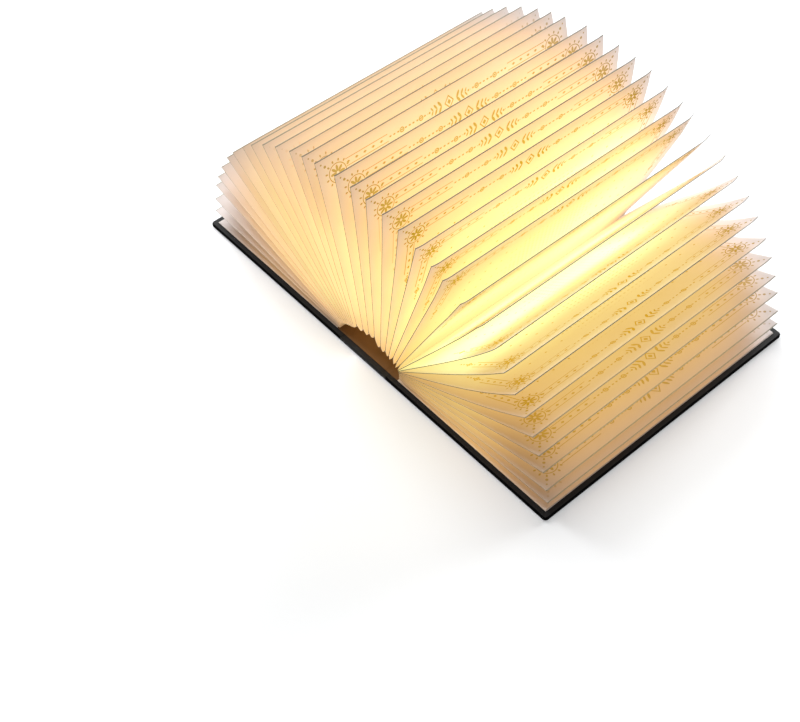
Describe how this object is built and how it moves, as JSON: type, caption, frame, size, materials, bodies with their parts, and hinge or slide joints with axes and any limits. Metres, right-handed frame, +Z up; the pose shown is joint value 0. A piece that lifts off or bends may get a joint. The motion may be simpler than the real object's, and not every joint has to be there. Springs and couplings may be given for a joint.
{
  "type": "folding book lamp",
  "caption": "Hardcover book that opens flat into a lamp: pleated paper pages fan out over a rechargeable light bar in the spine.",
  "frame": {"origin": "middle of the spine, on the surface the open book lies on", "axes": "+X from the front cover to the back cover, +Y along the spine to the head, +Z up"},
  "size_m": [0.338, 0.216, 0.1478],
  "materials": {
    "cover_cloth": "slate blue book cloth, fine weave, matt",
    "spine_cloth": "near-black slate book cloth, matt",
    "foil": "pale gold stamped foil, satin",
    "board": "grey board, raw",
    "lining": "dark brown lining paper",
    "endpaper": "pale grey paper, smooth",
    "page": "thin translucent paper, tear-proof, lit through, with gold-brown printed ornament",
    "magnet": "nickel plated",
    "white_plastic": "moulded, fine texture",
    "opal": "opal diffusing plastic, lit",
    "led": "yellow phosphor, lit",
    "strip": "white solder mask",
    "circuit_board": "green solder mask",
    "black_plastic": "moulded chip body",
    "battery_pouch": "laminated foil pouch",
    "wire": "red wire insulation",
    "steel": "plated steel"
  },
  "bodies": {
    "spine": {"spine_board": "board", "spine_cloth": "spine_cloth", "spine_lining": "lining", "spine_foil": "foil", "light_bar_base": "white_plastic", "battery": "battery_pouch", "control_board": "circuit_board", "usb_c_port": "steel", "hall_sensor": "black_plastic", "wiring": "wire", "led_carrier": "white_plastic", "led_strip": "strip", "leds": "led", "carrier_screws": "steel", "diffuser": "opal"},
    "front_cover": {"front_board": "board", "front_cloth": "cover_cloth", "front_hinge_lining": "lining", "front_endpaper": "endpaper", "front_glued_page": "page", "front_foil": "foil", "trigger_magnet": "magnet"},
    "back_cover": {"back_board": "board", "back_cloth": "cover_cloth", "back_hinge_lining": "lining", "back_endpaper": "endpaper", "back_glued_page": "page"},
    "leaf_01": {"pleat_01": "page"},
    "leaf_02": {"pleat_02": "page"},
    "leaf_03": {"pleat_03": "page"},
    "leaf_04": {"pleat_04": "page"},
    "leaf_05": {"pleat_05": "page"},
    "leaf_06": {"pleat_06": "page"},
    "leaf_07": {"pleat_07": "page"},
    "leaf_08": {"pleat_08": "page"},
    "leaf_09": {"pleat_09": "page"},
    "leaf_10": {"pleat_10": "page"},
    "leaf_11": {"pleat_11": "page"},
    "leaf_12": {"pleat_12": "page"},
    "leaf_13": {"pleat_13": "page"},
    "leaf_14": {"pleat_14": "page"},
    "leaf_15": {"pleat_15": "page"},
    "leaf_16": {"pleat_16": "page"},
    "leaf_17": {"pleat_17": "page"},
    "leaf_18": {"pleat_18": "page"},
    "leaf_19": {"pleat_19": "page"},
    "leaf_20": {"pleat_20": "page"},
    "leaf_21": {"pleat_21": "page"},
    "leaf_22": {"pleat_22": "page"},
    "leaf_23": {"pleat_23": "page"},
    "leaf_24": {"pleat_24": "page"},
    "leaf_25": {"pleat_25": "page"},
    "leaf_26": {"pleat_26": "page"},
    "leaf_27": {"pleat_27": "page"},
    "leaf_28": {"pleat_28": "page"},
    "leaf_29": {"pleat_29": "page"},
    "leaf_30": {"pleat_30": "page"},
    "leaf_31": {"pleat_31": "page"},
    "leaf_32": {"pleat_32": "page"},
    "leaf_33": {"pleat_33": "page"}
  },
  "joints": [
    {"name": "cover_fold", "type": "hinge", "parent": "spine", "child": "front_cover", "pos_m": [-0.019, 0, 0], "axis": [0, 1, 0], "range_deg": [0, 90]},
    {"name": "back_cover_fold", "type": "hinge", "parent": "spine", "child": "back_cover", "pos_m": [0.019, 0, 0], "axis": [0, 1, 0], "range_deg": [-90, 0]},
    {"name": "pleat_01_turn", "type": "hinge", "parent": "spine", "child": "leaf_01", "pos_m": [-0.01902, 0, 0.00001], "axis": [0, 1, 0], "range_deg": [0, 85.81]},
    {"name": "pleat_02_turn", "type": "hinge", "parent": "spine", "child": "leaf_02", "pos_m": [-0.01839, 0, -0.00014], "axis": [0, 1, 0], "range_deg": [0, 80.12]},
    {"name": "pleat_03_turn", "type": "hinge", "parent": "spine", "child": "leaf_03", "pos_m": [-0.01765, 0, -0.00031], "axis": [0, 1, 0], "range_deg": [0, 74.51]},
    {"name": "pleat_04_turn", "type": "hinge", "parent": "spine", "child": "leaf_04", "pos_m": [-0.01682, 0, -0.00048], "axis": [0, 1, 0], "range_deg": [0, 68.94]},
    {"name": "pleat_05_turn", "type": "hinge", "parent": "spine", "child": "leaf_05", "pos_m": [-0.01587, 0, -0.00066], "axis": [0, 1, 0], "range_deg": [0, 63.35]},
    {"name": "pleat_06_turn", "type": "hinge", "parent": "spine", "child": "leaf_06", "pos_m": [-0.01482, 0, -0.00083], "axis": [0, 1, 0], "range_deg": [0, 57.7]},
    {"name": "pleat_07_turn", "type": "hinge", "parent": "spine", "child": "leaf_07", "pos_m": [-0.01366, 0, -0.00101], "axis": [0, 1, 0], "range_deg": [0, 51.97]},
    {"name": "pleat_08_turn", "type": "hinge", "parent": "spine", "child": "leaf_08", "pos_m": [-0.01238, 0, -0.00118], "axis": [0, 1, 0], "range_deg": [0, 46.16]},
    {"name": "pleat_09_turn", "type": "hinge", "parent": "spine", "child": "leaf_09", "pos_m": [-0.011, 0, -0.00134], "axis": [0, 1, 0], "range_deg": [0, 40.28]},
    {"name": "pleat_10_turn", "type": "hinge", "parent": "spine", "child": "leaf_10", "pos_m": [-0.00954, 0, -0.00149], "axis": [0, 1, 0], "range_deg": [0, 34.39]},
    {"name": "pleat_11_turn", "type": "hinge", "parent": "spine", "child": "leaf_11", "pos_m": [-0.00802, 0, -0.00162], "axis": [0, 1, 0], "range_deg": [0, 28.51]},
    {"name": "pleat_12_turn", "type": "hinge", "parent": "spine", "child": "leaf_12", "pos_m": [-0.00646, 0, -0.00172], "axis": [0, 1, 0], "range_deg": [0, 22.73]},
    {"name": "pleat_13_turn", "type": "hinge", "parent": "spine", "child": "leaf_13", "pos_m": [-0.00489, 0, -0.00181], "axis": [0, 1, 0], "range_deg": [0, 17.07]},
    {"name": "pleat_14_turn", "type": "hinge", "parent": "spine", "child": "leaf_14", "pos_m": [-0.00333, 0, -0.00187], "axis": [0, 1, 0], "range_deg": [0, 11.58]},
    {"name": "pleat_15_turn", "type": "hinge", "parent": "spine", "child": "leaf_15", "pos_m": [-0.00181, 0, -0.0019], "axis": [0, 1, 0], "range_deg": [0, 6.27]},
    {"name": "pleat_16_turn", "type": "hinge", "parent": "spine", "child": "leaf_16", "pos_m": [-0.00032, 0, -0.00192], "axis": [0, 1, 0], "range_deg": [0, 1.12]},
    {"name": "pleat_17_turn", "type": "hinge", "parent": "spine", "child": "leaf_17", "pos_m": [0.00113, 0, -0.00191], "axis": [0, 1, 0], "range_deg": [-3.92, 0]},
    {"name": "pleat_18_turn", "type": "hinge", "parent": "spine", "child": "leaf_18", "pos_m": [0.00256, 0, -0.00189], "axis": [0, 1, 0], "range_deg": [-8.86, 0]},
    {"name": "pleat_19_turn", "type": "hinge", "parent": "spine", "child": "leaf_19", "pos_m": [0.00396, 0, -0.00185], "axis": [0, 1, 0], "range_deg": [-13.78, 0]},
    {"name": "pleat_20_turn", "type": "hinge", "parent": "spine", "child": "leaf_20", "pos_m": [0.00535, 0, -0.00179], "axis": [0, 1, 0], "range_deg": [-18.73, 0]},
    {"name": "pleat_21_turn", "type": "hinge", "parent": "spine", "child": "leaf_21", "pos_m": [0.00674, 0, -0.00171], "axis": [0, 1, 0], "range_deg": [-23.77, 0]},
    {"name": "pleat_22_turn", "type": "hinge", "parent": "spine", "child": "leaf_22", "pos_m": [0.00812, 0, -0.00161], "axis": [0, 1, 0], "range_deg": [-28.91, 0]},
    {"name": "pleat_23_turn", "type": "hinge", "parent": "spine", "child": "leaf_23", "pos_m": [0.00949, 0, -0.0015], "axis": [0, 1, 0], "range_deg": [-34.18, 0]},
    {"name": "pleat_24_turn", "type": "hinge", "parent": "spine", "child": "leaf_24", "pos_m": [0.01082, 0, -0.00136], "axis": [0, 1, 0], "range_deg": [-39.54, 0]},
    {"name": "pleat_25_turn", "type": "hinge", "parent": "spine", "child": "leaf_25", "pos_m": [0.01211, 0, -0.00122], "axis": [0, 1, 0], "range_deg": [-44.96, 0]},
    {"name": "pleat_26_turn", "type": "hinge", "parent": "spine", "child": "leaf_26", "pos_m": [0.01332, 0, -0.00106], "axis": [0, 1, 0], "range_deg": [-50.38, 0]},
    {"name": "pleat_27_turn", "type": "hinge", "parent": "spine", "child": "leaf_27", "pos_m": [0.01444, 0, -0.00089], "axis": [0, 1, 0], "range_deg": [-55.77, 0]},
    {"name": "pleat_28_turn", "type": "hinge", "parent": "spine", "child": "leaf_28", "pos_m": [0.01546, 0, -0.00073], "axis": [0, 1, 0], "range_deg": [-61.06, 0]},
    {"name": "pleat_29_turn", "type": "hinge", "parent": "spine", "child": "leaf_29", "pos_m": [0.01637, 0, -0.00057], "axis": [0, 1, 0], "range_deg": [-66.23, 0]},
    {"name": "pleat_30_turn", "type": "hinge", "parent": "spine", "child": "leaf_30", "pos_m": [0.01718, 0, -0.00041], "axis": [0, 1, 0], "range_deg": [-71.27, 0]},
    {"name": "pleat_31_turn", "type": "hinge", "parent": "spine", "child": "leaf_31", "pos_m": [0.01788, 0, -0.00026], "axis": [0, 1, 0], "range_deg": [-76.18, 0]},
    {"name": "pleat_32_turn", "type": "hinge", "parent": "spine", "child": "leaf_32", "pos_m": [0.01849, 0, -0.00012], "axis": [0, 1, 0], "range_deg": [-81.01, 0]},
    {"name": "pleat_33_turn", "type": "hinge", "parent": "spine", "child": "leaf_33", "pos_m": [0.01902, 0, 0.00001], "axis": [0, 1, 0], "range_deg": [-85.81, 0]}
  ],
  "couplings": [
    {"joint": "back_cover_fold", "follows": "cover_fold", "ratio": -1},
    {"joint": "pleat_01_turn", "follows": "cover_fold", "ratio": 0.95333},
    {"joint": "pleat_02_turn", "follows": "cover_fold", "ratio": 0.89008},
    {"joint": "pleat_03_turn", "follows": "cover_fold", "ratio": 0.82776},
    {"joint": "pleat_04_turn", "follows": "cover_fold", "ratio": 0.76583},
    {"joint": "pleat_05_turn", "follows": "cover_fold", "ratio": 0.70373},
    {"joint": "pleat_06_turn", "follows": "cover_fold", "ratio": 0.641},
    {"joint": "pleat_07_turn", "follows": "cover_fold", "ratio": 0.57736},
    {"joint": "pleat_08_turn", "follows": "cover_fold", "ratio": 0.51278},
    {"joint": "pleat_09_turn", "follows": "cover_fold", "ratio": 0.4475},
    {"joint": "pleat_10_turn", "follows": "cover_fold", "ratio": 0.38195},
    {"joint": "pleat_11_turn", "follows": "cover_fold", "ratio": 0.31671},
    {"joint": "pleat_12_turn", "follows": "cover_fold", "ratio": 0.25241},
    {"joint": "pleat_13_turn", "follows": "cover_fold", "ratio": 0.18956},
    {"joint": "pleat_14_turn", "follows": "cover_fold", "ratio": 0.12856},
    {"joint": "pleat_15_turn", "follows": "cover_fold", "ratio": 0.069519},
    {"joint": "pleat_16_turn", "follows": "cover_fold", "ratio": 0.012309},
    {"joint": "pleat_17_turn", "follows": "cover_fold", "ratio": -0.043449},
    {"joint": "pleat_18_turn", "follows": "cover_fold", "ratio": -0.09832},
    {"joint": "pleat_19_turn", "follows": "cover_fold", "ratio": -0.15296},
    {"joint": "pleat_20_turn", "follows": "cover_fold", "ratio": -0.208},
    {"joint": "pleat_21_turn", "follows": "cover_fold", "ratio": -0.26397},
    {"joint": "pleat_22_turn", "follows": "cover_fold", "ratio": -0.32116},
    {"joint": "pleat_23_turn", "follows": "cover_fold", "ratio": -0.37964},
    {"joint": "pleat_24_turn", "follows": "cover_fold", "ratio": -0.43919},
    {"joint": "pleat_25_turn", "follows": "cover_fold", "ratio": -0.49941},
    {"joint": "pleat_26_turn", "follows": "cover_fold", "ratio": -0.55972},
    {"joint": "pleat_27_turn", "follows": "cover_fold", "ratio": -0.61953},
    {"joint": "pleat_28_turn", "follows": "cover_fold", "ratio": -0.67833},
    {"joint": "pleat_29_turn", "follows": "cover_fold", "ratio": -0.73576},
    {"joint": "pleat_30_turn", "follows": "cover_fold", "ratio": -0.79172},
    {"joint": "pleat_31_turn", "follows": "cover_fold", "ratio": -0.84636},
    {"joint": "pleat_32_turn", "follows": "cover_fold", "ratio": -0.90005},
    {"joint": "pleat_33_turn", "follows": "cover_fold", "ratio": -0.95333}
  ]
}
